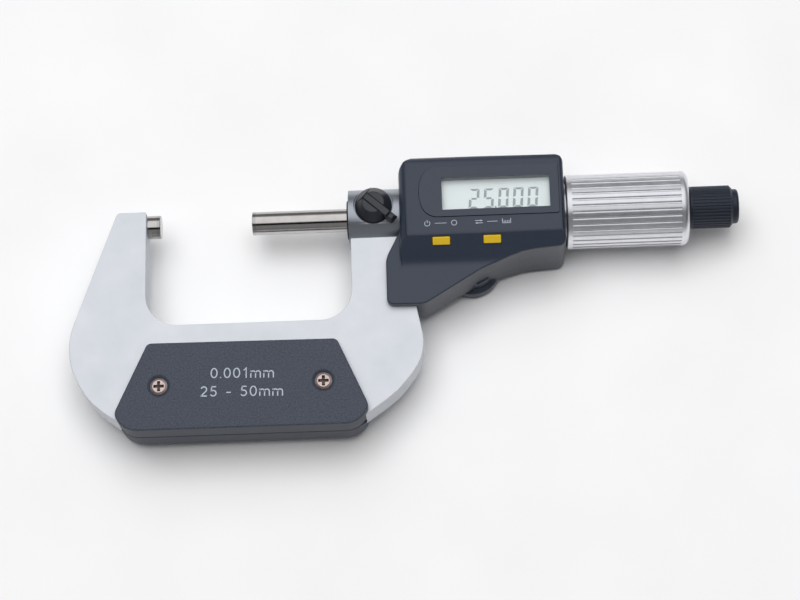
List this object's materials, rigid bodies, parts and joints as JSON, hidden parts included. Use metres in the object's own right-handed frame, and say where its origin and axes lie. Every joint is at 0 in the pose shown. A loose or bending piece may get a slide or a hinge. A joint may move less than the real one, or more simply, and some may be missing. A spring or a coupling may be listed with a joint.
{
  "type": "outside micrometer",
  "caption": "C-frame outside micrometer with an electronic display, a screw-driven spindle turned by a fluted thimble and a ratchet knob, a lock lever, and grip covers on the frame.",
  "frame": {"origin": "centre of the anvil's measuring face", "axes": "+X along the spindle axis from the anvil to the thimble, +Y from the grip to the spindle, +Z out of the display face"},
  "size_m": [0.1815, 0.073, 0.0242],
  "materials": {
    "frame_paint": "satin",
    "ground_steel": "ground",
    "hard_tip": "lapped",
    "screw_steel": "satin",
    "inner_steel": "turned",
    "brass_part": "turned",
    "grip_plastic": "fine grain",
    "housing_plastic": "fine grain",
    "lock_plastic": "satin",
    "black_rubber": "matt",
    "thimble_metal": "satin",
    "knob_plastic": "satin",
    "display_clear": "clear",
    "lcd_glass": "matt film",
    "black_plastic": "matt",
    "bezel_plastic": "satin",
    "board_laminate": "solder mask",
    "button_plastic": "satin",
    "battery_can": "polished"
  },
  "bodies": {
    "frame_body": {"frame": "frame_paint", "anvil": "ground_steel", "anvil_tip": "hard_tip", "grip_front": "grip_plastic", "grip_rear": "grip_plastic", "grip_screws_front": "screw_steel", "grip_screws_rear": "screw_steel", "guide_bush": "brass_part", "spindle_seal": "black_rubber", "lock_pad": "brass_part", "encoder_case": "inner_steel", "encoder_stator": "board_laminate", "thrust_washer": "inner_steel", "barrel": "inner_steel", "sleeve": "thimble_metal", "adjusting_nut": "inner_steel", "housing_front": "housing_plastic", "housing_rear": "housing_plastic", "housing_screws": "screw_steel", "display_bezel": "bezel_plastic", "display_window": "display_clear", "lcd_panel": "lcd_glass", "lcd_frame": "black_plastic", "zebra_strips": "black_rubber", "circuit_board": "board_laminate", "board_parts": "black_plastic", "board_screws": "screw_steel", "button_mat": "black_rubber", "battery": "battery_can", "battery_contacts": "brass_part"},
    "rotor_body": {"encoder_rotor": "board_laminate", "rotor_bush": "brass_part", "rotor_key": "inner_steel"},
    "spindle_body": {"spindle": "ground_steel", "spindle_tip": "hard_tip", "thimble": "thimble_metal", "ratchet_base": "inner_steel", "ratchet_screw": "inner_steel", "ratchet_spring": "inner_steel"},
    "knob_body": {"ratchet_knob": "knob_plastic", "ratchet_cap": "knob_plastic"},
    "crown_body": {"ratchet_crown": "inner_steel"},
    "lock_body": {"lock_lever": "lock_plastic", "lock_screw": "inner_steel"},
    "set_button_body": {"set_button": "button_plastic"},
    "unit_button_body": {"unit_button": "button_plastic"},
    "seal_body": {"battery_seal": "black_rubber"},
    "cap_body": {"battery_cap": "knob_plastic"}
  },
  "joints": [
    {"name": "thimble_turn", "type": "hinge", "parent": "frame_body", "child": "rotor_body", "pos_m": [0.075, 0, 0], "axis": [1, 0, 0], "range_deg": [0, 18000]},
    {"name": "spindle_travel", "type": "slide", "parent": "rotor_body", "child": "spindle_body", "axis": [1, 0, 0], "range_m": [0, 0.025]},
    {"name": "ratchet_turn", "type": "hinge", "parent": "spindle_body", "child": "knob_body", "pos_m": [0.15, 0, 0], "axis": [1, 0, 0], "continuous": true},
    {"name": "ratchet_lift", "type": "slide", "parent": "knob_body", "child": "crown_body", "axis": [1, 0, 0], "range_m": [0, 0.0004], "stiffness_N_per_m": 1500, "deforming": ["ratchet_spring"]},
    {"name": "lock_turn", "type": "hinge", "parent": "frame_body", "child": "lock_body", "pos_m": [0.0583, 0.0016, 0.006], "axis": [0, 0, -1], "range_deg": [0, 60]},
    {"name": "set_press", "type": "slide", "parent": "frame_body", "child": "set_button_body", "axis": [0, 0.5407, -0.8412], "range_m": [0, 0.0005], "stiffness_N_per_m": 1200},
    {"name": "unit_press", "type": "slide", "parent": "frame_body", "child": "unit_button_body", "axis": [0, 0.5407, -0.8412], "range_m": [0, 0.0005], "stiffness_N_per_m": 1200},
    {"name": "cap_travel", "type": "slide", "parent": "frame_body", "child": "seal_body", "axis": [0, 0, -1], "range_m": [0, 0.002]},
    {"name": "cap_turn", "type": "hinge", "parent": "seal_body", "child": "cap_body", "pos_m": [0.0843, -0.012, -0.0115], "axis": [0, 0, 1], "range_deg": [0, 720]}
  ],
  "couplings": [
    {"joint": "thimble_turn", "follows": "spindle_travel", "rad_per_m": 12566},
    {"joint": "cap_turn", "follows": "cap_travel", "rad_per_m": 6283.2}
  ]
}
